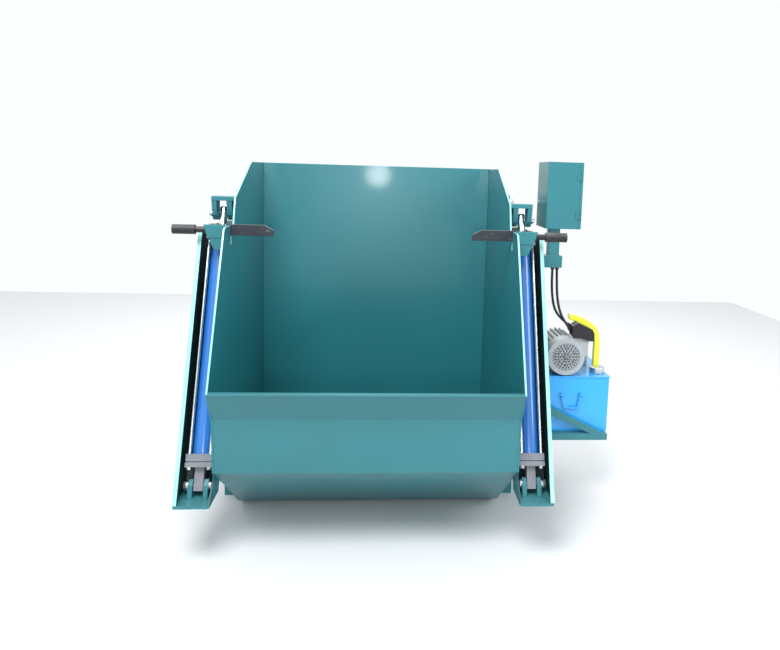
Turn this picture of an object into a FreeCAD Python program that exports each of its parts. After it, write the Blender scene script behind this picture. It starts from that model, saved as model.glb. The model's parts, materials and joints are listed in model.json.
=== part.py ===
import FreeCAD, Part
import math
import os

# Hydraulic tipping bucket loader. Millimetres, +Z up, the bucket's lip faces -Y.
# Sizes below are counted from the floor under the lip of the lowered bucket, and every
# sub-part is saved with the origin at the middle of the low cross beam's underside.
V = FreeCAD.Vector

origin_y = 1252.0

# Bucket
half_width = 600.0
wall = 8.0
sheet = 6.0
back_y = 1140.0
top_z = 1580.0
lip_z = 720.0
step_y = 285.0
step_z = 1312.0

# Tipping linkage: foot pin, rod head pin and bucket pivot, each as (y, z)
foot_pin = (135.0, 305.0)
head_pin = (568.0, 1350.0)
pivot = (1060.0, 1410.0)
tip_degrees = 120.0

# Side columns
mast_in = 601.5
mast_out = 740.0
mast_plate = 8.0
mast_inner_plate = 5.0
mast_top = 1290.0
mast_foot_z = 268.0
axis_x = 660.0
mast_front = 74.0
web_gap = 66.0
tube_in = 614.0
tube_out = 690.0
tube_wall = 5.0

# Cylinder, measured along its axis from the foot pin
barrel_r = 40.0
bore_r = 33.0
cap_half = 51.0
base_block = (70.0, 120.0)
gland_block = (1000.0, 1052.0)
tie_offset = 40.0
tie_r = 7.0
rod_r = 17.0
eye_half = 18.0
foot_pin_r = 12.5
head_bolt_r = 11.0
play = 0.05

# Retaining bars
bar_y = 400.0
bar_z = 1292.0
bar_pivot_x = 672.0

# Power unit and cabinet
cap_x = 1086.0
tank_box = ((770.0, 600.0, 342.0), (1129.0, 1010.0, 607.0))
motor_x = 914.0
motor_z = 707.0
motor_r = 89.0
cabinet_box = ((772.0, 550.0, 1317.0), (920.0, 750.0, 1618.0))


def direction(a, b):
    return math.atan2(b[1] - a[1], b[0] - a[0])


def distance(a, b):
    return math.hypot(b[0] - a[0], b[1] - a[1])


def swing(point, degrees):
    turn = -math.radians(degrees)
    y = point[0] - pivot[0]
    z = point[1] - pivot[1]
    return (pivot[0] + y * math.cos(turn) - z * math.sin(turn),
            pivot[1] + y * math.sin(turn) + z * math.cos(turn))


lean = direction(foot_pin, head_pin)
pinned_length = distance(foot_pin, head_pin)
head_tipped = swing(head_pin, tip_degrees)
lean_tipped = direction(foot_pin, head_tipped)


def save(name, *solids):
    shape = solids[0].copy() if len(solids) == 1 else Part.makeCompound(list(solids))
    shape.translate(V(0, -origin_y, 0))
    shape.exportStep("parts/" + name + ".step")


def mirrored(solid):
    return solid.mirror(V(0, 0, 0), V(1, 0, 0))


def both(name, *solids):
    save(name + "_right", *solids)
    save(name + "_left", *[mirrored(s) for s in solids])


def pair(name, *solids):
    save(name, *solids, *[mirrored(s) for s in solids])


def box(low, high):
    size = [b - a for a, b in zip(low, high)]
    return Part.makeBox(size[0], size[1], size[2], V(*low))


def cylinder(radius, start, end):
    start, end = V(*start), V(*end)
    return Part.makeCylinder(radius, (end - start).Length, start, end - start)


def side_shape(points, x0, x1):
    outline = [V(x0, y, z) for y, z in points]
    return Part.Face(Part.makePolygon(outline + outline[:1])).extrude(V(x1 - x0, 0, 0))


def front_shape(points, y0, y1):
    outline = [V(x, y0, z) for x, z in points]
    return Part.Face(Part.makePolygon(outline + outline[:1])).extrude(V(0, y1 - y0, 0))


def fuse(first, *others):
    for other in others:
        first = first.fuse(other)
    return first.removeSplitter()


def along(s, off=0.0, angle=None):
    # point (y, z) at distance s from the foot pin, off millimetres behind the axis
    angle = lean if angle is None else angle
    return (foot_pin[0] + s * math.cos(angle) + off * math.sin(angle),
            foot_pin[1] + s * math.sin(angle) - off * math.cos(angle))


def on_axis(s, x=axis_x):
    y, z = along(s)
    return (x, y, z)


def leaning_box(x0, x1, off, s0, s1):
    corners = [along(s0, -off), along(s1, -off), along(s1, off), along(s0, off)]
    return side_shape(corners, x0, x1)


def inward(points, thickness):
    # the open outline moved sideways by thickness, with mitred corners
    moved = []
    for i, (y, z) in enumerate(points):
        normals = []
        for a, b in ((i - 1, i), (i, i + 1)):
            if a >= 0 and b < len(points):
                turn = direction(points[a], points[b])
                normals.append((-math.sin(turn), math.cos(turn)))
        ny = sum(n[0] for n in normals) / len(normals)
        nz = sum(n[1] for n in normals) / len(normals)
        scale = thickness / (ny * ny + nz * nz)
        moved.append((y + ny * scale, z + nz * scale))
    return moved


def square_tube(low, high, axis):
    inner_low = [v + tube_wall for v in low]
    inner_high = [v - tube_wall for v in high]
    inner_low[axis] = low[axis] - 1
    inner_high[axis] = high[axis] + 1
    return box(low, high).cut(box(inner_low, inner_high))


# ---- bucket ----
pan_line = [(0, lip_z), (70, 600), (82, 378), (190, 300), (300, 220), (420, 125), (535, 35), (600, 4),
            (back_y, 4), (back_y, top_z)]


def bucket():
    pan = side_shape(pan_line + inward(pan_line, sheet)[::-1], -half_width + wall, half_width - wall)
    save("bucket_pan", pan)
    lip = side_shape([(-12, lip_z), (14, lip_z), (14, lip_z + 6), (-12, lip_z + 6)],
                     -half_width + wall, half_width - wall)
    save("bucket_lip_flange", lip.cut(pan))
    outline = pan_line + [(842, top_z), (497, 1423), (470, 1340), (462, step_z), (step_y + 25, step_z),
                          (step_y + 6, step_z - 8), (step_y - 4, step_z - 26)]
    plate = side_shape(outline, half_width - wall, half_width)
    slot = box((half_width - wall - 1, bar_y - 8, bar_z - 60), (half_width + 1, bar_y + 8, step_z + 5))
    both("bucket_side", plate.cut(slot))
    x, y, z, leg = half_width - wall, back_y - sheet, 4 + sheet, 60
    gusset = Part.Face(Part.makePolygon([V(x, y, z), V(x - leg, y, z), V(x, y - leg, z), V(x, y, z)]))
    pair("corner_gussets", gusset.extrude(V(0, 0, 40)))


def head_bracket():
    ear_in = (axis_x - 44.0, axis_x - 21.0)
    ear_out = (axis_x + 21.0, axis_x + 42.0)
    y, z = head_pin
    under = z + 57.0
    ear = [(y - 14, z - 28), (y + 14, z - 28), (y + 20, z), (y + 20, under), (y - 44, under), (y - 34, z - 4)]
    plate = box((half_width, y - 46, under), (ear_out[1], y + 20, under + 19))
    arm = box((half_width, y - 14, z + 28), (ear_in[0], y + 14, under))
    body = fuse(side_shape(ear, *ear_in), side_shape(ear, *ear_out), plate, arm)
    hole = cylinder(head_bolt_r, (ear_in[0] - 1, y, z), (ear_out[1] + 1, y, z))
    pair("head_brackets", body.cut(hole))
    inner = cylinder(head_bolt_r, (ear_in[0], y, z), (ear_in[1] - 1, y, z))
    outer = fuse(cylinder(head_bolt_r, (ear_out[0] + 1, y, z), (ear_out[1], y, z)),
                 cylinder(head_bolt_r + 5, (ear_out[1], y, z), (ear_out[1] + 9, y, z)))
    pair("head_bolts", inner, outer)


def pivot_lug():
    y, z = pivot
    plate = side_shape([(y - 130, z - 75), (y + 70, z - 75), (y + 78, z + 40), (y + 40, z + 75),
                        (y - 90, z + 75)], half_width, half_width + 10)
    pair("pivot_lugs", plate)
    shaft = cylinder(20.0 - play, (half_width + 10, y, z), (tube_out + 9, y, z))
    collar = cylinder(30.0, (tube_out + 9, y, z), (tube_out + 21, y, z))
    pair("pivot_shafts", fuse(shaft, collar))


def lever_bracket():
    front, rear = bar_y - 32, bar_y - 22
    low, high = bar_z - 31, bar_z + 24
    plate = front_shape([(half_width, low), (half_width + 79, low), (half_width + 97, high),
                         (half_width, high)], front, rear)
    gusset = front_shape([(half_width, low - 49), (half_width + 56, low - 49), (half_width + 79, low),
                          (half_width, low)], front + 4, rear)
    rib = box((half_width, rear, low - 41), (half_width + 44, bar_y + 18, low - 33))
    pin = cylinder(9.0, (bar_pivot_x, rear, bar_z), (bar_pivot_x, bar_y + 20, bar_z))
    head = cylinder(15.0, (bar_pivot_x, bar_y + 20, bar_z), (bar_pivot_x, bar_y + 28, bar_z))
    pair("lever_brackets", fuse(plate, gusset, rib), fuse(pin, head))


def lever():
    low = bar_z - 21
    high = bar_z + 25
    root_x = bar_pivot_x - 22
    tip_x = 417.0
    grip_x = bar_pivot_x + 64
    blade = front_shape([(root_x, low), (tip_x, low), (tip_x, high - 22), (tip_x + 40, high), (root_x, high)],
                        bar_y - 5, bar_y + 5)
    knuckle = cylinder(25.0, (bar_pivot_x, bar_y - 20, bar_z), (bar_pivot_x, bar_y + 18, bar_z))
    neck = cylinder(13.0, (bar_pivot_x, bar_y, bar_z), (grip_x, bar_y, bar_z))
    bore = cylinder(9.0 + play, (bar_pivot_x, bar_y - 22, bar_z), (bar_pivot_x, bar_y + 20, bar_z))
    hub = fuse(knuckle, neck).cut(bore)
    sleeve = cylinder(25.0, (bar_pivot_x, bar_y - 22, bar_z), (bar_pivot_x, bar_y + 20, bar_z))
    both("lever_blade", blade.cut(sleeve))
    both("lever_knuckle", hub)
    grip = cylinder(20.5, (grip_x, bar_y, bar_z), (grip_x + 92, bar_y, bar_z))
    both("lever_grip", grip.makeFillet(8.0, [grip.Edges[0], grip.Edges[2]]))


# ---- fixed frame ----
def mast():
    rear_turn = lean_tipped
    y0, z0 = along(0, web_gap, rear_turn)
    rise = math.tan(rear_turn)
    front_y = along(0, -mast_front)[0] + (mast_foot_z - along(0, -mast_front)[1]) / math.tan(lean)
    top_y = front_y + (mast_top - mast_foot_z) / math.tan(lean)
    rear_foot = y0 + (mast_foot_z - z0) / rise
    rear_top = y0 + (mast_top - z0) / rise
    outline = [(front_y, mast_foot_z), (rear_foot, mast_foot_z), (rear_top, mast_top), (top_y, mast_top)]
    setback = 44.0
    recess = [(front_y, mast_foot_z), (rear_foot, mast_foot_z), (rear_top, mast_top),
              (top_y + setback, mast_top), (front_y + setback + 25, mast_foot_z + 60)]
    inner = side_shape(recess, mast_in, mast_in + mast_inner_plate)
    outer = side_shape(outline, mast_out - mast_plate, mast_out)
    lip = side_shape([(front_y, mast_foot_z), (front_y + 8, mast_foot_z), (top_y + 8, mast_top),
                      (top_y, mast_top)], mast_out - 16, mast_out)
    web = side_shape([(rear_foot - 8, mast_foot_z), (rear_foot, mast_foot_z), (rear_top, mast_top),
                      (rear_top - 8, mast_top)], mast_in, mast_out)
    foot = box((mast_in, front_y - 2, mast_foot_z - 12), (mast_out, rear_foot, mast_foot_z))
    corners = [e for e in foot.Edges if abs(e.CenterOfMass.y - front_y + 2) < 1 and e.Length < 13]
    both("mast", fuse(inner, outer, lip, web, foot.makeFillet(10.0, corners)))
    y, z = foot_pin
    near_x, far_x = axis_x - 21, axis_x + 21
    outline = [(y - 45, mast_foot_z), (y + 30, mast_foot_z), (y + 26, z + 20), (y - 10, z + 30),
               (y - 30, z + 14)]
    hole = cylinder(foot_pin_r, (mast_in, y, z), (mast_out, y, z))
    ears = [side_shape(outline, a, b).cut(hole) for a, b in ((near_x - 18, near_x), (far_x, far_x + 18))]
    pair("foot_ears", *ears)
    pin = cylinder(foot_pin_r - play, (near_x - 18, y, z), (far_x + 18, y, z))
    heads = [Part.makeCylinder(20, 7, V(x, y, z), V(1, 0, 0)) for x in (near_x - 25, far_x + 18)]
    pair("foot_pins", fuse(pin, *heads))
    return rear_top


def rear_frame(rear_top):
    y, z = pivot
    post = square_tube((tube_in, y - 38, 76), (tube_out, y + 38, z - 30), 2)
    housing = cylinder(42, (tube_in, y, z), (tube_out, y, z))
    neck = box((tube_in, y - 38, z - 60), (tube_out, y + 38, z - 14))
    bore = cylinder(20, (tube_in - 1, y, z), (tube_out + 1, y, z))
    both("post", fuse(post, neck, housing).cut(bore))
    rail = box((tube_in, 660, 0), (tube_out, 1290, 76))
    rail = rail.cut(box((tube_in + tube_wall, 665, tube_wall), (tube_out - tube_wall, 1285, 76 - tube_wall)))
    both("base_rail", rail)
    foot = box((tube_out, 1200, 0), (tube_out + 70, 1290, 12))
    front_foot = box((tube_out, 850, 0), (tube_out + 70, 940, 12))
    near, far = [Part.makeCylinder(9, 20, V(tube_out + 38, yy, -4)) for yy in (895, 1245)]
    pair("anchor_plates", foot.cut(far), front_foot.cut(near))
    for name, zz in (("struts_low", 296.0), ("struts_high", 1040.0)):
        y_web = along(0, web_gap, lean_tipped)
        front = y_web[0] + (zz + 76 - y_web[1]) / math.tan(lean_tipped)
        tail = y_web[0] + (zz - y_web[1]) / math.tan(lean_tipped)
        outer = side_shape([(tail, zz), (front, zz + 76), (y - 38, zz + 76), (y - 38, zz)], tube_in, tube_out)
        hollow = box((tube_in + 5, front + 12, zz + 5), (tube_out - 5, y - 37, zz + 71))
        pair(name, outer.cut(hollow))
    save("cross_beam_low", square_tube((-tube_in, 1214, 0), (tube_in, 1290, 76), 0))
    save("cross_beam_high", square_tube((-tube_in, 1170, 700), (tube_in, 1230, 760), 0))
    pair("beam_stubs", box((tube_in, y + 38, 700), (tube_out, 1230, 760)))


# ---- cylinders ----
def hydraulic_cylinder():
    tube = cylinder(barrel_r, on_axis(base_block[1]), on_axis(gland_block[0]))
    tube = tube.cut(cylinder(bore_r, on_axis(base_block[1] - 1), on_axis(gland_block[0] + 1)))
    both("barrel_tube", tube)
    low, high = axis_x - cap_half, axis_x + cap_half
    base = leaning_box(low, high, cap_half, base_block[0] + 22, base_block[1])
    plate = leaning_box(low - 1, high + 1, cap_half + 1, base_block[0], base_block[0] + 18)
    join = leaning_box(low + 6, high - 6, cap_half - 6, base_block[0] + 18, base_block[0] + 22)
    tongue = leaning_box(axis_x - eye_half, axis_x + eye_half, 25, -20, base_block[0])
    bore = cylinder(foot_pin_r + play, (axis_x - 30, *foot_pin), (axis_x + 30, *foot_pin))
    both("base_cap", fuse(base, plate, join, tongue).cut(bore))
    gland = leaning_box(low, high, cap_half, *gland_block)
    gland = gland.cut(cylinder(rod_r + play, on_axis(gland_block[0] - 1), on_axis(gland_block[1] + 1)))
    both("gland_cap", gland)
    ties = []
    for dx in (-tie_offset, tie_offset):
        for off in (-tie_offset, tie_offset):
            a, b = along(base_block[1], off), along(gland_block[0], off)
            ties.append(cylinder(tie_r, (axis_x + dx, *a), (axis_x + dx, *b)))
    both("tie_rods", *ties)
    piston_end = base_block[1] + 40
    shank = cylinder(rod_r, on_axis(piston_end - 2), on_axis(pinned_length + 26))
    bore = cylinder(head_bolt_r + 0.5, (axis_x - 30, *head_pin), (axis_x + 30, *head_pin))
    piston = cylinder(bore_r - play, on_axis(base_block[1] + 6), on_axis(piston_end))
    both("rod", fuse(shank, piston).cut(bore))


# ---- cables ----
cable_d = 12.0
cables = {
    "cable_a": [(828, 612, 1123), (828, 613, 1060), (836, 622, 996), (851, 640, 938), (885, 668, 886),
                (936, 690, 846)],
    "cable_b": [(849, 612, 1123), (851, 609, 1060), (857, 612, 995), (872, 624, 935), (900, 652, 880),
                (940, 676, 830)],
}


def cable_tube(route):
    # a round tube along straight runs joined by tangent arcs
    points = [V(*p) for p in route]
    edges, here = [], points[0]
    for before, point, after in zip(points, points[1:], points[2:]):
        into = (point - before).normalize()
        out = (after - point).normalize()
        half_turn = into.getAngle(out) / 2
        cut = 0.45 * min((point - before).Length, (after - point).Length)
        radius = cut / math.tan(half_turn)
        start, end = point - into * cut, point + out * cut
        middle_way = (out - into).normalize()
        middle = point + middle_way * (radius / math.cos(half_turn) - radius)
        edges += [Part.makeLine(here, start), Part.Arc(start, middle, end).toShape()]
        here = end
        print("cable bend radius", round(radius))
    edges.append(Part.makeLine(here, points[-1]))
    path = Part.Wire(edges)
    ring = Part.Wire(Part.makeCircle(cable_d / 2, points[0], points[1] - points[0]))
    tube = path.makePipeShell([ring], True, False)
    section = math.pi * cable_d ** 2 / 4
    print("cable volume", round(tube.Volume), "section x length", round(section * path.Length))
    return tube


# ---- power unit ----
def power_unit():
    low, high = tank_box
    front = low[1] - 22
    shelf = box((tube_out, front, low[2] - 32), (high[0] - 6, high[1] + 10, low[2]))
    upright = box((mast_out - 44, front - 12, low[2] - 32), (mast_out - 4, front, low[2] + 210))
    brace = front_shape([(mast_out - 6, 483), (mast_out - 6, 528), (high[0] - 20, low[2]),
                         (high[0] - 90, low[2])], front - 12, front)
    toe = box((mast_out - 6, front - 12, low[2] - 32), (high[0] - 6, front, low[2]))
    save("power_shelf", fuse(shelf, upright, brace, toe))
    shell = box(low, high)
    cavity = box([v + 4 for v in low], [v - 4 for v in high])
    neck = Part.makeCylinder(20, 30, V(cap_x, 665, high[2] - 5))
    save("oil_tank", shell.cut(cavity).cut(neck))
    lid = box((low[0] - 4, low[1] - 4, high[2]), (high[0] + 4, high[1] + 4, high[2] + 6))
    save("tank_lid", lid.cut(Part.makeCylinder(20, 30, V(cap_x, 665, high[2] - 5))))
    cap = fuse(Part.makeCylinder(36, 30, V(cap_x, 665, high[2] + 6.4)),
               Part.makeCylinder(19.5, 14, V(cap_x, 665, high[2] - 7)))
    save("filler_cap", cap)
    hinge_y, hinge_z = low[1] - 9, 524.0
    tabs = []
    for x in (899.0, 995.0):
        knuckle = cylinder(8, (x - 7, hinge_y, hinge_z), (x + 7, hinge_y, hinge_z))
        tab = knuckle.fuse(box((x - 7, hinge_y, hinge_z - 8), (x + 7, low[1], hinge_z + 8)))
        tabs.append(tab.cut(cylinder(3.5, (x - 9, hinge_y, hinge_z), (x + 9, hinge_y, hinge_z))))
    save("handle_tabs", *tabs)
    reach = 64.0
    bail = [cylinder(5, (912, hinge_y, hinge_z - reach), (982, hinge_y, hinge_z - reach))]
    for x, toward in ((899.0, 1), (995.0, -1)):
        plate_x = sorted((x + toward * 8, x + toward * 13))
        link_x = sorted((x - toward * 2, x + toward * 13))
        arm = [(x - toward * 2, hinge_z - 12), (x + toward * 8, hinge_z - 12),
               (x + toward * 22, hinge_z - reach), (x + toward * 12, hinge_z - reach)]
        bail.append(front_shape(arm, hinge_y - 4, hinge_y + 4))
        bail.append(box((link_x[0], hinge_y - 4, hinge_z - 18), (link_x[1], hinge_y + 4, hinge_z - 9)))
        bail.append(box((plate_x[0], hinge_y - 4, hinge_z - 16), (plate_x[1], hinge_y + 4, hinge_z + 5)))
        bail.append(cylinder(3.42, (x - toward * 7, hinge_y, hinge_z), (x + toward * 12, hinge_y, hinge_z)))
    save("tank_handle", fuse(*bail))


def motor():
    x, z, r = motor_x, motor_z, motor_r
    tank_top = tank_box[1][2] + 6
    body = cylinder(r - 12, (x, 660, z), (x, 850, z))
    fins = []
    for i in range(24):
        fin = box((x - 2, 664, z + r - 14), (x + 2, 846, z + r - 1))
        fin.rotate(V(x, 0, z), V(0, 1, 0), i * 15.0)
        fins.append(fin)
    feet = [box((x + s - 14, 690, tank_top), (x + s + 14, 820, z - 40)) for s in (-48, 48)]
    spindle = cylinder(6, (x, 630, z), (x, 660, z))
    block = box((x + 50, 680, z - 15), (x + 129, 712, z + 71))
    motor_body = fuse(body, *fins, *feet, spindle, block)
    save("motor_body", motor_body)
    cover = cylinder(r, (x, 600, z), (x, 664, z)).cut(cylinder(r - 4, (x, 605, z), (x, 670, z)))
    for ring in range(4):
        for step in range(6 + ring * 6):
            turn = 2 * math.pi * step / (6 + ring * 6)
            reach = 14.0 * (ring + 1)
            cx, cz = x + reach * math.cos(turn), z + reach * math.sin(turn)
            cover = cover.cut(cylinder(4.2, (cx, 598, cz), (cx, 608, cz)))
    save("fan_cover", cover)
    hub = cylinder(16, (x, 616, z), (x, 650, z))
    blades = []
    for i in range(8):
        blade = box((x - 1.5, 620, z + 10), (x + 1.5, 648, z + r - 14))
        blade.rotate(V(x, 0, z), V(0, 1, 0), i * 45.0)
        blades.append(blade)
    save("fan", fuse(hub, *blades).cut(cylinder(6 + play, (x, 610, z), (x, 652, z))))
    hood = [(955, 790), (955, 838), (982, 857), (1055, 824), (1066, 803), (1066, 766), (1044, 766),
            (990, 783)]
    terminal = front_shape(hood, 666, 720).cut(motor_body)
    save("terminal_box", terminal)
    glands = []
    for name, route in cables.items():
        tube = cable_tube(route)
        save(name, tube)
        end = V(*route[-1])
        heading = end - V(*route[-2])
        into_box = Part.makeCylinder(9, 45, end, heading)
        glands.append(into_box.common(box((900, 600, 700), (955, 720, 900))).cut(tube))
        start = V(*route[0])
        glands.append(Part.makeCylinder(9, 12, start, V(0, 0, 1)).cut(tube))
    save("cable_glands", *glands)
    pump = fuse(cylinder(66, (x, 850, z), (x, 880, z)), box((x - 40, 880, z - 40), (x + 40, 960, z + 40)))
    save("pump", pump)
    valve = fuse(box((1010, 780, tank_top), (1070, 880, tank_top + 90)),
                 box((1022, 800, tank_top + 90), (1058, 860, tank_top + 130)),
                 cylinder(14, (1040, 762, tank_top + 60), (1040, 780, tank_top + 60)))
    save("valve_block", valve)
    outer = [(951, 887), (1000, 877), (1049, 856), (1090, 825), (1109, 785), (1115, 740), (1115, tank_top)]
    inner = [(1087, tank_top), (1087, 745), (1083, 775), (1068, 802), (1035, 829), (992, 848), (955, 859)]
    guard = front_shape(outer + inner, 724, 756)
    save("guard", guard)


def cabinet():
    low, high = cabinet_box
    hollow = box([v + 3 for v in low], (high[0] + 1, high[1] - 3, high[2] - 3))
    shell = box(low, high).cut(hollow)
    save("cabinet_shell", shell)
    door = box((high[0] + 0.6, low[1] + 1, low[2]), (high[0] + 14, high[1], high[2]))
    save("cabinet_door", door)
    hinges = []
    for z in (low[2] + 45, high[2] - 80):
        barrel = cylinder(4, (high[0] + 8, low[1] - 5, z), (high[0] + 8, low[1] - 5, z + 34))
        leaf = box((high[0] - 12, low[1] - 4, z), (high[0] + 8, low[1] - 1, z + 34))
        rest = box((high[0] - 12, low[1] - 4, z), (high[0] - 4, low[1], z + 34))
        hinges.append(fuse(barrel, leaf, rest))
    save("door_hinges", *hinges)
    column = box((800, 590, 1190), (850, 640, low[2]))
    foot = box((mast_out, 580, 1135), (864, 650, 1190))
    save("cabinet_bracket", fuse(column, foot))


def main():
    os.makedirs("parts", exist_ok=True)
    bucket()
    head_bracket()
    pivot_lug()
    lever_bracket()
    lever()
    rear_frame(mast())
    hydraulic_cylinder()
    power_unit()
    motor()
    cabinet()
    stroke = distance(foot_pin, head_tipped) - pinned_length
    swing_back = math.degrees(lean - lean_tipped)
    print("stroke", round(stroke, 2), "swing", round(swing_back, 3))
    print("slide ratio", round(stroke / 1000 / math.radians(tip_degrees), 5),
          "swing ratio", round(swing_back / tip_degrees, 5))


main()
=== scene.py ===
import bpy
import json
import math
from mathutils import Matrix, Vector


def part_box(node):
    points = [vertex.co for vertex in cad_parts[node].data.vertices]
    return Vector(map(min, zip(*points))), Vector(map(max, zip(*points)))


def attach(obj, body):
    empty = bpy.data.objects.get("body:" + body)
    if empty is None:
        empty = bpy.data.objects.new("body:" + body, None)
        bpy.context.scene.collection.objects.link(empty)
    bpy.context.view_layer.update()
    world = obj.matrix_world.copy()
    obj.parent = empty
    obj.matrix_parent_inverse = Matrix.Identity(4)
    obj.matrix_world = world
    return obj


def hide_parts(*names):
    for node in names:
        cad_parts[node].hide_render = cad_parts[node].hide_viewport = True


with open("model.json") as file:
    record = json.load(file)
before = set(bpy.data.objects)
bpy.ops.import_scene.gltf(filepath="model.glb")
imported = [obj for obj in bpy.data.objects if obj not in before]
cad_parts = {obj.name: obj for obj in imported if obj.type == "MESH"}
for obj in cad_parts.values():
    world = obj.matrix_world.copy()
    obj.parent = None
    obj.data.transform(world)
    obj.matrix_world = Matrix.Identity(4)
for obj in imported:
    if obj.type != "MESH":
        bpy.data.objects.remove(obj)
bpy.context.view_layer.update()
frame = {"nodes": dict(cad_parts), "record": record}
nodes = frame["nodes"]
print("frame loaded:", len(nodes), "nodes")


# ---- camera ----
cameraSetup = {
    "place": (0.050, -3.690, 1.560),
    "turnRight": 4.466,
    "tiltDown": 7.087,
    "lean": 1.724,
    "lens": 30.99,
    "shift": (-0.0608, -0.0899),
}


def makeCamera(values):
    turn, tilt, lean = (math.radians(values[name]) for name in ("turnRight", "tiltDown", "lean"))
    ahead = Vector((math.sin(turn) * math.cos(tilt), math.cos(turn) * math.cos(tilt), -math.sin(tilt)))
    level = Vector((math.cos(turn), -math.sin(turn), 0))
    upright = level.cross(ahead)
    right = level * math.cos(lean) + upright * math.sin(lean)
    up = upright * math.cos(lean) - level * math.sin(lean)
    camera = bpy.data.objects.new("camera", bpy.data.cameras.new("camera"))
    bpy.context.scene.collection.objects.link(camera)
    pose = Matrix((right, up, -ahead)).transposed().to_4x4()
    camera.matrix_world = Matrix.Translation(values["place"]) @ pose
    camera.data.sensor_width = 36.0
    camera.data.lens = values["lens"]
    camera.data.shift_x, camera.data.shift_y = values["shift"]
    bpy.context.scene.camera = camera


makeCamera(cameraSetup)


# ---- floor and light ----
lightSetup = {
    "sky": (0.96, 0.985, 1.0),
    "skyStrength": 1.02,
    "aim": (0, -0.6, 0.8),
    "floor": (0.67, 0.68, 0.69),
    "floorSize": 9,
    "floorRough": 0.75,
    "key": {"place": (-0.9, -3.6, 4.8), "size": 2.4, "power": 250},
    "fill": {"place": (3.6, -3.2, 2.6), "size": 2.2, "power": 60},
    "back": {"place": (0.4, 3.2, 4.2), "size": 3.0, "power": 110},
    "glare": {"place": (-0.05, -4.3, 1.50), "size": 0.26, "power": 14},
}


def makeStage(values):
    bpy.ops.object.select_all(action="DESELECT")
    bpy.ops.mesh.primitive_plane_add(size=values["floorSize"], location=(0, 0, -0.0006))
    floor = bpy.context.active_object
    floor.name = "studioFloor"
    paint = bpy.data.materials.new("paleFloor")
    paint.use_nodes = True
    shader = paint.node_tree.nodes["Principled BSDF"]
    shader.inputs["Base Color"].default_value = (*values["floor"], 1)
    shader.inputs["Roughness"].default_value = values["floorRough"]
    floor.data.materials.append(paint)
    world = bpy.data.worlds.new("softSky")
    bpy.context.scene.world = world
    world.use_nodes = True
    background = world.node_tree.nodes["Background"]
    background.inputs["Color"].default_value = (*values["sky"], 1)
    background.inputs["Strength"].default_value = values["skyStrength"]
    for name in ("key", "fill", "back", "glare"):
        lamp = bpy.data.lights.new(name + "Light", "AREA")
        lamp.shape = "DISK"
        lamp.size = values[name]["size"]
        lamp.energy = values[name]["power"]
        holder = bpy.data.objects.new(name + "Light", lamp)
        bpy.context.scene.collection.objects.link(holder)
        place = Vector(values[name]["place"])
        holder.location = place
        holder.rotation_euler = (Vector(values["aim"]) - place).to_track_quat("-Z", "Y").to_euler()
    bpy.context.scene.view_settings.view_transform = "Standard"


makeStage(lightSetup)
print("camera and light ready")


# ---- shared surface effects ----
def newGroup(name, inputs, outputs):
    group = bpy.data.node_groups.new(name, "ShaderNodeTree")
    for label, kind, value in inputs:
        socket = group.interface.new_socket(label, in_out="INPUT", socket_type=kind)
        socket.default_value = value
    for label, kind in outputs:
        group.interface.new_socket(label, in_out="OUTPUT", socket_type=kind)
    start = group.nodes.new("NodeGroupInput")
    end = group.nodes.new("NodeGroupOutput")
    return group, start, end


def addNode(tree, kind, **settings):
    node = tree.nodes.new(kind)
    for name, value in settings.items():
        setattr(node, name, value)
    return node


def objectPlace(tree):
    return addNode(tree, "ShaderNodeTexCoord").outputs["Object"]


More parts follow.
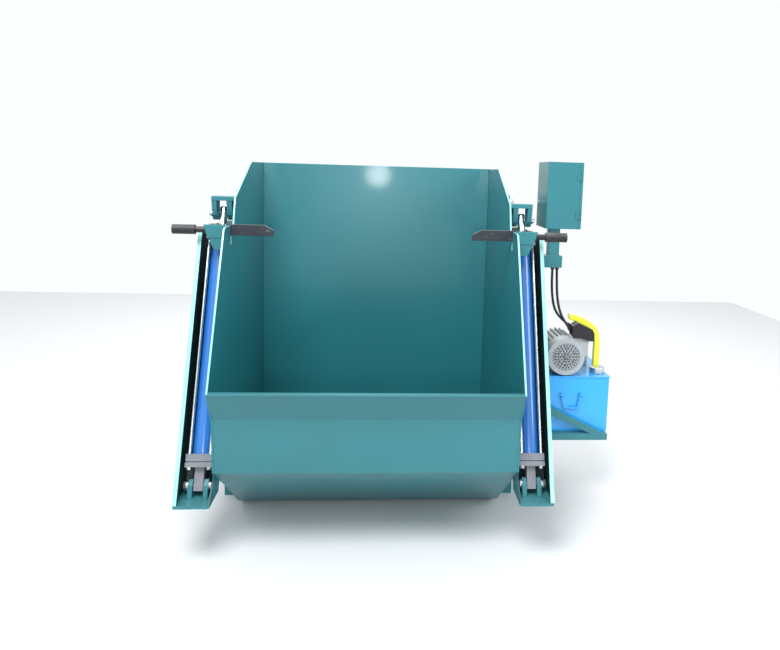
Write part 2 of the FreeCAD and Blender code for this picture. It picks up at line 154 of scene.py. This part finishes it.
def makePaintTone():
    # slow drift of the paint's shade, dust in patches and thin scuffs
    group, start, end = newGroup(
        "paintTone",
        [("Paint", "NodeSocketColor", (0.1, 0.3, 0.3, 1)), ("Drift", "NodeSocketFloat", 0.2),
         ("Patch Size", "NodeSocketFloat", 2.0), ("Dust", "NodeSocketFloat", 0.1),
         ("Scuffs", "NodeSocketFloat", 0.2)],
        [("Color", "NodeSocketColor"), ("Roughness Shift", "NodeSocketFloat")])
    place = objectPlace(group)
    link = group.links.new
    patches = addNode(group, "ShaderNodeTexNoise")
    patches.inputs["Detail"].default_value = 5
    link(place, patches.inputs["Vector"])
    link(start.outputs["Patch Size"], patches.inputs["Scale"])
    centred = addNode(group, "ShaderNodeMath", operation="SUBTRACT")
    centred.inputs[1].default_value = 0.5
    link(patches.outputs["Fac"], centred.inputs[0])
    drift = addNode(group, "ShaderNodeMath", operation="MULTIPLY_ADD")
    drift.inputs[2].default_value = 1.0
    link(centred.outputs[0], drift.inputs[0])
    link(start.outputs["Drift"], drift.inputs[1])
    shade = addNode(group, "ShaderNodeHueSaturation")
    link(start.outputs["Paint"], shade.inputs["Color"])
    link(drift.outputs[0], shade.inputs["Value"])
    stretch = addNode(group, "ShaderNodeMapping")
    stretch.inputs["Scale"].default_value = (1.0, 1.0, 9.0)
    stretch.inputs["Rotation"].default_value = (0.3, 0.5, 0.2)
    link(place, stretch.inputs["Vector"])
    scratches = addNode(group, "ShaderNodeTexNoise")
    scratches.inputs["Scale"].default_value = 26
    scratches.inputs["Detail"].default_value = 8
    link(stretch.outputs["Vector"], scratches.inputs["Vector"])
    thin = addNode(group, "ShaderNodeMapRange")
    thin.inputs["From Min"].default_value = 0.66
    thin.inputs["From Max"].default_value = 0.74
    link(scratches.outputs["Fac"], thin.inputs["Value"])
    amount = addNode(group, "ShaderNodeMath", operation="MULTIPLY")
    link(thin.outputs["Result"], amount.inputs[0])
    link(start.outputs["Scuffs"], amount.inputs[1])
    scuffed = addNode(group, "ShaderNodeMix", data_type="RGBA")
    scuffed.inputs["B"].default_value = (0.35, 0.45, 0.46, 1)
    link(amount.outputs[0], scuffed.inputs["Factor"])
    link(shade.outputs["Color"], scuffed.inputs["A"])
    facing = addNode(group, "ShaderNodeNewGeometry")
    split = addNode(group, "ShaderNodeSeparateXYZ")
    link(facing.outputs["Normal"], split.inputs["Vector"])
    upward = addNode(group, "ShaderNodeMapRange")
    upward.inputs["From Min"].default_value = 0.2
    link(split.outputs["Z"], upward.inputs["Value"])
    settled = addNode(group, "ShaderNodeMath", operation="MULTIPLY")
    link(upward.outputs["Result"], settled.inputs[0])
    link(patches.outputs["Fac"], settled.inputs[1])
    dustiness = addNode(group, "ShaderNodeMath", operation="MULTIPLY")
    link(settled.outputs[0], dustiness.inputs[0])
    link(start.outputs["Dust"], dustiness.inputs[1])
    dusty = addNode(group, "ShaderNodeMix", data_type="RGBA")
    dusty.inputs["B"].default_value = (0.55, 0.56, 0.52, 1)
    link(dustiness.outputs[0], dusty.inputs["Factor"])
    link(scuffed.outputs["Result"], dusty.inputs["A"])
    link(dusty.outputs["Result"], end.inputs["Color"])
    rough = addNode(group, "ShaderNodeMath", operation="MULTIPLY_ADD")
    rough.inputs[1].default_value = 0.12
    link(centred.outputs[0], rough.inputs[0])
    link(amount.outputs[0], rough.inputs[2])
    link(rough.outputs[0], end.inputs["Roughness Shift"])
    return group


def makeFineGrain():
    # orange peel, casting grain or moulding texture, by its size and strength
    group, start, end = newGroup(
        "fineGrain", [("Size", "NodeSocketFloat", 400.0), ("Strength", "NodeSocketFloat", 0.1)],
        [("Normal", "NodeSocketVector")])
    link = group.links.new
    grain = addNode(group, "ShaderNodeTexNoise")
    grain.inputs["Detail"].default_value = 3
    link(objectPlace(group), grain.inputs["Vector"])
    link(start.outputs["Size"], grain.inputs["Scale"])
    bump = addNode(group, "ShaderNodeBump")
    bump.inputs["Distance"].default_value = 0.001
    link(start.outputs["Strength"], bump.inputs["Strength"])
    link(grain.outputs["Fac"], bump.inputs["Height"])
    link(bump.outputs["Normal"], end.inputs["Normal"])
    return group


paintTone = makePaintTone()
fineGrain = makeFineGrain()


# ---- finishes ----
finishes = {
    "tealEnamel": {"color": (0.016, 0.158, 0.185), "rough": 0.32, "drift": 0.35, "patch": 1.6, "dust": 0.10,
                   "scuffs": 0.10, "grain": 260, "depth": 0.10, "coat": 0.16},
    # lighter teal for cut edges and bevels: a painted highlight
    "tealPaintedHighlight": {"color": (0.30, 0.62, 0.62), "rough": 0.25, "drift": 0.5, "patch": 8, "dust": 0.0,
                 "scuffs": 0.2, "grain": 260, "depth": 0.10, "coat": 0.5},
    # near-black teal for the insides of the columns: painted shade
    "tealPaintedShade": {"color": (0.006, 0.040, 0.044), "rough": 0.45, "drift": 0.4, "patch": 3, "dust": 0.1,
                  "scuffs": 0.2, "grain": 260, "depth": 0.10},
    "blueEnamel": {"color": (0.018, 0.150, 0.50), "rough": 0.16, "drift": 0.15, "patch": 3, "dust": 0.0,
                   "scuffs": 0.05, "grain": 300, "depth": 0.04, "coat": 0.8},
    "skyEnamel": {"color": (0.016, 0.34, 0.80), "rough": 0.24, "drift": 0.2, "patch": 3, "dust": 0.1,
                  "scuffs": 0.15, "grain": 280, "depth": 0.08, "coat": 0.5},
    "greyCasting": {"color": (0.16, 0.17, 0.20), "rough": 0.42, "drift": 0.5, "patch": 14, "dust": 0.2,
                    "scuffs": 0.5, "grain": 700, "depth": 0.35, "coat": 0.0},
    "motorGrey": {"color": (0.33, 0.36, 0.38), "rough": 0.45, "drift": 0.4, "patch": 12, "dust": 0.4,
                  "scuffs": 0.2, "grain": 600, "depth": 0.25, "coat": 0.0},
    "brightZinc": {"color": (0.74, 0.76, 0.78), "rough": 0.24, "drift": 0.3, "patch": 30, "dust": 0.0,
                   "scuffs": 0.1, "grain": 900, "depth": 0.08, "metal": 1.0},
    "hardChrome": {"color": (0.86, 0.87, 0.89), "rough": 0.07, "drift": 0.08, "patch": 6, "dust": 0.0,
                   "scuffs": 0.0, "grain": 900, "depth": 0.01, "metal": 1.0},
    "satinSteel": {"color": (0.58, 0.60, 0.62), "rough": 0.32, "drift": 0.3, "patch": 18, "dust": 0.05,
                   "scuffs": 0.3, "grain": 900, "depth": 0.1, "metal": 1.0},
    "darkBar": {"color": (0.024, 0.030, 0.040), "rough": 0.38, "drift": 0.6, "patch": 16, "dust": 0.25,
                "scuffs": 0.6, "grain": 500, "depth": 0.3, "metal": 0.35},
    "blackPaint": {"color": (0.006, 0.006, 0.008), "rough": 0.35, "drift": 0.4, "patch": 12, "dust": 0.25,
                   "scuffs": 0.2, "grain": 600, "depth": 0.2},
    "blackRubber": {"color": (0.014, 0.015, 0.018), "rough": 0.46, "drift": 0.4, "patch": 20, "dust": 0.3,
                    "scuffs": 0.15, "grain": 1200, "depth": 0.3},
    "yellowEnamel": {"color": (0.80, 0.80, 0.03), "rough": 0.28, "drift": 0.2, "patch": 6, "dust": 0.05,
                     "scuffs": 0.1, "grain": 300, "depth": 0.08, "coat": 0.4},
    "fanPlastic": {"color": (0.03, 0.03, 0.033), "rough": 0.55, "drift": 0.3, "patch": 20, "dust": 0.4,
                   "scuffs": 0.1, "grain": 900, "depth": 0.2},
}


def makeFinish(name, values):
    finish = bpy.data.materials.new(name)
    finish.use_nodes = True
    tree = finish.node_tree
    link = tree.links.new
    shader = tree.nodes["Principled BSDF"]
    tone = addNode(tree, "ShaderNodeGroup", node_tree=paintTone)
    tone.inputs["Paint"].default_value = (*values["color"], 1)
    tone.inputs["Drift"].default_value = values["drift"]
    tone.inputs["Patch Size"].default_value = values["patch"]
    tone.inputs["Dust"].default_value = values["dust"]
    tone.inputs["Scuffs"].default_value = values["scuffs"]
    link(tone.outputs["Color"], shader.inputs["Base Color"])
    rough = addNode(tree, "ShaderNodeMath", operation="ADD", use_clamp=True)
    rough.inputs[1].default_value = values["rough"]
    link(tone.outputs["Roughness Shift"], rough.inputs[0])
    link(rough.outputs[0], shader.inputs["Roughness"])
    grain = addNode(tree, "ShaderNodeGroup", node_tree=fineGrain)
    grain.inputs["Size"].default_value = values["grain"]
    grain.inputs["Strength"].default_value = values["depth"]
    link(grain.outputs["Normal"], shader.inputs["Normal"])
    shader.inputs["Metallic"].default_value = values.get("metal", 0.0)
    shader.inputs["Coat Weight"].default_value = values.get("coat", 0.0)
    shader.inputs["Coat Roughness"].default_value = 0.08
    return finish


paint = {name: makeFinish(name, values) for name, values in finishes.items()}
print("finishes ready")


# ---- cables ----
cableSetup = {
    "diameter": 0.012,
    "roundsCorners": 0.985,
    "cable_a": [(0.828, -0.640, 1.123), (0.828, -0.639, 1.060), (0.836, -0.630, 0.996),
                (0.851, -0.612, 0.938), (0.885, -0.584, 0.886), (0.936, -0.562, 0.846)],
    "cable_b": [(0.849, -0.640, 1.123), (0.851, -0.643, 1.060), (0.857, -0.640, 0.995),
                (0.872, -0.628, 0.935), (0.900, -0.600, 0.880), (0.940, -0.576, 0.830)],
}


def makeCable(node, values):
    route = values[node]
    curve = bpy.data.curves.new(node + "Line", "CURVE")
    curve.dimensions = "3D"
    curve.bevel_depth = values["diameter"] / 2
    curve.bevel_resolution = 6
    curve.resolution_u = 24
    curve.use_fill_caps = True
    line = curve.splines.new("NURBS")
    line.points.add(len(route) - 1)
    for point, place in zip(line.points, route):
        point.co = (*place, 1)
    line.order_u = 3
    line.use_endpoint_u = True
    cable = bpy.data.objects.new(node + "Line", curve)
    bpy.context.scene.collection.objects.link(cable)
    curve.materials.append(paint["blackRubber"])
    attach(cable, "frame")
    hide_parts(node)


makeCable("cable_a", cableSetup)
makeCable("cable_b", cableSetup)
print("cables ready")


# ---- plates and castings with rounded edges ----
def bodyOf(node):
    for body, members in frame["record"]["behaviour"]["bodies"].items():
        if node in members:
            return body
    return None


def slotOf(node):
    for entry in frame["record"]["subparts"]:
        if entry["node"] == node:
            return entry["material_slot"]
    return None


def finishPiece(piece, body, slot, *materials):
    piece.data.materials.clear()
    for material in materials:
        piece.data.materials.append(paint[material])
    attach(piece, body)


def applyAll(piece):
    bpy.ops.object.select_all(action="DESELECT")
    piece.select_set(True)
    bpy.context.view_layer.objects.active = piece
    for modifier in list(piece.modifiers):
        bpy.ops.object.modifier_apply(modifier=modifier.name)


paintedLightRules = {
    "bucketEdgeFrom": 0.72,
    "flange": 0.722,
    "flangeEdgeFrom": 0.30,
    "channelFrom": 0.27,
    "channelOutside": 0.733,
    "channelMiddle": 0.7,
    "channelInside": 0.61,
}


def paintedLightMark(node, face, rules):
    # 0 keeps the paint, 1 is a painted highlight on a cut edge, 2 is painted shade inside a column
    across = abs(face.center.x)
    height = face.center.z
    outward = face.normal.x * face.center.x
    facesFront = face.normal.y < -0.4
    if node.startswith("bucket_side"):
        return 1 if abs(face.normal.x) < 0.5 and height > rules["bucketEdgeFrom"] else 0
    if node.startswith("mast"):
        # front edges of the outer flanges get the painted highlight
        if across > rules["flange"] and facesFront:
            return 1 if height > rules["flangeEdgeFrom"] else 0
        # faces inside a column get the near-black painted shade
        if across < rules["channelOutside"] and height > rules["channelFrom"] and face.normal.z < 0.9:
            outerPlate = outward < 0 and across > rules["channelMiddle"]
            web = facesFront and across < rules["channelMiddle"]
            innerPlate = outward > 0 and across < rules["channelInside"]
            if outerPlate or web or innerPlate:
                return 2
    return face.material_index


softening = {
    "mergeWithin": 0.00002,
    "flatWithin": 0.5,
    "bevelOver": 35,
    "smoothUnder": 14,
    "segments": 2,
}


def softened(node, width, finish, highlightFinish=None):
    piece = nodes[node].copy()
    piece.data = nodes[node].data.copy()
    piece.name = node + "Soft"
    piece.parent = None
    bpy.context.scene.collection.objects.link(piece)
    bpy.ops.object.select_all(action="DESELECT")
    piece.select_set(True)
    bpy.context.view_layer.objects.active = piece
    bpy.ops.object.mode_set(mode="EDIT")
    bpy.ops.mesh.select_all(action="SELECT")
    bpy.ops.mesh.remove_doubles(threshold=softening["mergeWithin"])
    bpy.ops.mesh.customdata_custom_splitnormals_clear()
    bpy.ops.mesh.dissolve_limited(angle_limit=math.radians(softening["flatWithin"]))
    bpy.ops.object.mode_set(mode="OBJECT")
    bevel = piece.modifiers.new("softEdges", "BEVEL")
    bevel.width = width
    bevel.segments = softening["segments"]
    bevel.limit_method = "ANGLE"
    bevel.angle_limit = math.radians(softening["bevelOver"])
    bevel.use_clamp_overlap = True
    # bevel faces take slot 1, the lighter painted highlight
    bevel.material = 1 if highlightFinish else -1
    applyAll(piece)
    bpy.ops.object.shade_smooth_by_angle(angle=math.radians(softening["smoothUnder"]))
    # slot 1 is the painted highlight on edges and bevels, slot 2 the painted shade in the columns
    marks = [paintedLightMark(node, face, paintedLightRules) for face in piece.data.polygons]
    materials = [finish, highlightFinish, "tealPaintedShade"] if highlightFinish else [finish]
    finishPiece(piece, bodyOf(node), slotOf(node), *materials)
    for face, mark in zip(piece.data.polygons, marks):
        face.material_index = mark
    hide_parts(node)


tealPlates = {
    "bucket_pan": 0.0016, "bucket_lip_flange": 0.0020, "bucket_side_left": 0.0018,
    "bucket_side_right": 0.0018, "corner_gussets": 0.0012, "mast_left": 0.0015, "mast_right": 0.0015,
    "head_brackets": 0.0022, "lever_brackets": 0.0018, "pivot_lugs": 0.0015, "foot_ears": 0.0020,
    "cabinet_shell": 0.0012, "cabinet_door": 0.0014, "cabinet_bracket": 0.0020, "power_shelf": 0.0020,
}
# teal plates get the painted highlight on their edges and the painted shade inside the columns
for node, width in tealPlates.items():
    softened(node, width, "tealEnamel", "tealPaintedHighlight")

otherSoft = {
    "oil_tank": (0.0030, "skyEnamel"), "tank_lid": (0.0015, "skyEnamel"), "guard": (0.0030, "yellowEnamel"),
    "lever_blade_left": (0.0014, "darkBar"), "lever_blade_right": (0.0014, "darkBar"),
    "base_cap_left": (0.0024, "greyCasting"), "base_cap_right": (0.0024, "greyCasting"),
    "gland_cap_left": (0.0024, "greyCasting"), "gland_cap_right": (0.0024, "greyCasting"),
    "terminal_box": (0.0030, "blackPaint"), "valve_block": (0.0018, "satinSteel"),
    "pump": (0.0020, "greyCasting"), "filler_cap": (0.0030, "satinSteel"),
}
for node, (width, finish) in otherSoft.items():
    softened(node, width, finish)
print("plates and castings ready")


# ---- nodes that keep their shape ----
plainFinishes = {
    "green_paint": "tealEnamel", "cylinder_blue": "blueEnamel", "cap_grey": "greyCasting",
    "zinc": "brightZinc", "rod_chrome": "hardChrome", "bar_dark": "darkBar", "grip_black": "blackRubber",
    "black_steel": "blackPaint", "tank_blue": "skyEnamel", "lid_steel": "satinSteel",
    "motor_grey": "motorGrey", "fan_plastic": "fanPlastic", "cable_rubber": "blackRubber",
    "guard_yellow": "yellowEnamel",
}
for node, piece in nodes.items():
    for place in range(len(piece.material_slots)):
        piece.material_slots[place].material = paint[plainFinishes[slotOf(node)]]


# ---- new pieces ----
def startPiece(name):
    piece = bpy.context.active_object
    piece.name = name
    piece.data.name = name
    return piece


def settle(piece):
    # the place goes into the mesh, and the object stays at the origin
    piece.data.transform(piece.matrix_world)
    piece.matrix_world = Matrix.Identity(4)


def joinPieces(name, pieces):
    bpy.ops.object.select_all(action="DESELECT")
    for piece in pieces:
        piece.select_set(True)
    bpy.context.view_layer.objects.active = pieces[0]
    bpy.ops.object.join()
    return startPiece(name)


def editFaces(piece, wanted):
    bpy.ops.object.select_all(action="DESELECT")
    piece.select_set(True)
    bpy.context.view_layer.objects.active = piece
    bpy.ops.object.mode_set(mode="EDIT")
    bpy.ops.mesh.select_mode(type="FACE")
    bpy.ops.mesh.select_all(action="DESELECT")
    bpy.ops.object.mode_set(mode="OBJECT")
    for face in piece.data.polygons:
        face.select = wanted(face)
    bpy.ops.object.mode_set(mode="EDIT")


def hexBolt(name, place, facing, size):
    # a washer with a chamfered hexagon head on it, facing outwards
    turn = Vector(facing).to_track_quat("Z", "Y").to_euler()
    bpy.ops.object.select_all(action="DESELECT")
    bpy.ops.mesh.primitive_cylinder_add(vertices=24, radius=size * 1.15, depth=size * 0.24)
    washer = startPiece(name + "Washer")
    washer.data.transform(Matrix.Translation((0, 0, size * 0.12)))
    bpy.ops.object.select_all(action="DESELECT")
    bpy.ops.mesh.primitive_cylinder_add(vertices=6, radius=size, depth=size * 0.7)
    head = startPiece(name + "Head")
    head.data.transform(Matrix.Translation((0, 0, size * 0.59)))
    editFaces(head, lambda face: face.normal.z > 0.9)
    bpy.ops.mesh.inset(thickness=size * 0.14, depth=size * 0.1)
    bpy.ops.object.mode_set(mode="OBJECT")
    bolt = joinPieces(name, [head, washer])
    bolt.data.transform(Matrix.Translation(place) @ turn.to_matrix().to_4x4())
    return bolt


boltSetup = {
    "footSize": 0.016,
    "headSize": 0.010,
    "tieSize": 0.010,
    "tieReach": 0.040,
    "across": 0.660,
    "footPin": (-1.117, 0.305),
    "lean": (0.38279, 0.92384),
    "baseEnd": 0.0698,
    "glandEnd": 1.0522,
}


def makeBolts(values):
    feet = []
    heads = []
    leanY, leanZ = values["lean"]
    footY, footZ = values["footPin"]
    reach = values["tieReach"]
    for side, name in ((-1, "left"), (1, "right")):
        feet.append(hexBolt("foot", (side * 0.7062, footY, footZ), (side, 0, 0), values["footSize"]))
        heads.append(hexBolt("head", (side * 0.7112, -0.684, 1.350), (side, 0, 0), values["headSize"]))
        nuts = []
        for end, facing in ((values["baseEnd"], -1), (values["glandEnd"], 1)):
            for across in (-reach, reach):
                for off in (-reach, reach):
                    place = (side * values["across"] + across, footY + end * leanY + off * leanZ,
                             footZ + end * leanZ - off * leanY)
                    toward = (0, leanY * facing, leanZ * facing)
                    nuts.append(hexBolt("tie", place, toward, values["tieSize"]))
        finishPiece(joinPieces("tieNuts_" + name, nuts), "barrel_" + name, "zinc", "brightZinc")
    finishPiece(joinPieces("footNuts", feet), "frame", "zinc", "brightZinc")
    finishPiece(joinPieces("headNuts", heads), "bucket", "zinc", "brightZinc")


makeBolts(boltSetup)


grilleSetup = {
    "centre": (0.914, -0.652, 0.707),
    "rings": (0.022, 0.036, 0.050, 0.064),
    "wire": 0.0022,
    "spokes": 6,
    "boss": 0.012,
    "bossFlat": 0.4,
}


def makeGrille(values):
    parts = []
    centre = Vector(values["centre"])
    for radius in values["rings"]:
        bpy.ops.object.select_all(action="DESELECT")
        bpy.ops.mesh.primitive_torus_add(major_radius=radius, minor_radius=values["wire"], major_segments=48,
                                         minor_segments=8, rotation=(math.pi / 2, 0, 0), location=centre)
        parts.append(startPiece("ring"))
        settle(parts[-1])
    for number in range(values["spokes"]):
        turn = math.tau * number / values["spokes"]
        reach = values["rings"][-1] * 0.5
        bpy.ops.object.select_all(action="DESELECT")
        bpy.ops.mesh.primitive_cylinder_add(vertices=10, radius=values["wire"] * 0.9, depth=reach * 2)
        spoke = startPiece("spoke")
        away = Matrix.Rotation(turn, 4, "Y") @ Matrix.Translation((0, 0, reach))
        spoke.data.transform(Matrix.Translation(centre) @ away)
        parts.append(spoke)
    bpy.ops.object.select_all(action="DESELECT")
    bpy.ops.mesh.primitive_uv_sphere_add(segments=20, ring_count=12, radius=values["boss"],
                                         location=centre)
    parts.append(startPiece("boss"))
    settle(parts[-1])
    parts[-1].data.transform(Matrix.Translation(centre) @ Matrix.Diagonal((1, values["bossFlat"], 1, 1))
                             @ Matrix.Translation(-centre))
    grille = joinPieces("fanGrille", parts)
    bpy.ops.object.shade_smooth_by_angle(angle=math.radians(40))
    finishPiece(grille, "frame", "motor_grey", "greyCasting")


makeGrille(grilleSetup)


gripSetup = {
    "ribs": 9,
    "ribDepth": 0.0011,
    "ribHalf": 0.0022,
    "endRound": 0.006,
    "sides": 40,
}


def makeGrip(side, values):
    node = "lever_grip_" + side
    low, high = (Vector(corner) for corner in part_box(node))
    middle = (low + high) / 2
    length = high.x - low.x
    radius = (high.z - low.z) / 2
    bpy.ops.object.select_all(action="DESELECT")
    bpy.ops.mesh.primitive_cylinder_add(vertices=values["sides"], radius=radius, depth=length)
    grip = startPiece("grip_" + side)
    grip.data.transform(Matrix.Translation(middle) @ Matrix.Rotation(math.pi / 2, 4, "Y"))
    for number in range(values["ribs"]):
        across = low.x + length * (number + 1.2) / (values["ribs"] + 1.4)
        for offset in (-values["ribHalf"], values["ribHalf"]):
            editFaces(grip, lambda face: True)
            bpy.ops.mesh.select_all(action="SELECT")
            bpy.ops.mesh.bisect(plane_co=(across + offset, 0, 0), plane_no=(1, 0, 0))
            bpy.ops.object.mode_set(mode="OBJECT")

        def band(face, here=across):
            return abs(face.center.x - here) < 0.001 and abs(face.normal.x) < 0.5
        editFaces(grip, band)
        bpy.ops.mesh.inset(thickness=0.0004, depth=-values["ribDepth"])
        bpy.ops.object.mode_set(mode="OBJECT")
    bevel = grip.modifiers.new("roundEnds", "BEVEL")
    bevel.width = values["endRound"]
    bevel.segments = 4
    bevel.limit_method = "ANGLE"
    bevel.angle_limit = math.radians(70)
    applyAll(grip)
    bpy.ops.object.shade_smooth_by_angle(angle=math.radians(40))
    finishPiece(grip, "lever_" + side, "grip_black", "blackRubber")
    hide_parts(node)


makeGrip("left", gripSetup)
makeGrip("right", gripSetup)
print("small pieces ready")
